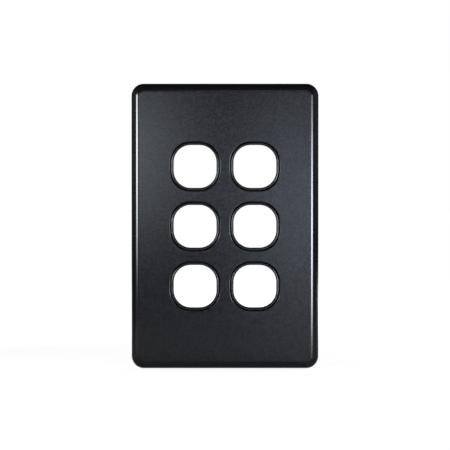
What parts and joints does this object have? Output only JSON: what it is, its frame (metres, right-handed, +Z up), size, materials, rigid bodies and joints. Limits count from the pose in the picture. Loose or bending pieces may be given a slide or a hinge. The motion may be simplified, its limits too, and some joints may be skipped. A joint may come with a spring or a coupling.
{
  "type": "switch plate",
  "caption": "Upright black wall switch plate: a clip-on moulded cover over a grid whose rounded-square collars take clip-in switch mechanisms.",
  "frame": {"origin": "centre of the wall plane, midway between the two fixing holes", "axes": "+Z up the plate, +Y into the wall, -Y out of the front, X across"},
  "size_m": [0.0762, 0.0082, 0.116],
  "materials": {
    "cover_plastic": "finely textured satin black",
    "grid_plastic": "plain satin black"
  },
  "bodies": {
    "root": {"cover_plate": "cover_plastic", "grid_plate": "grid_plastic"}
  },
  "joints": []
}
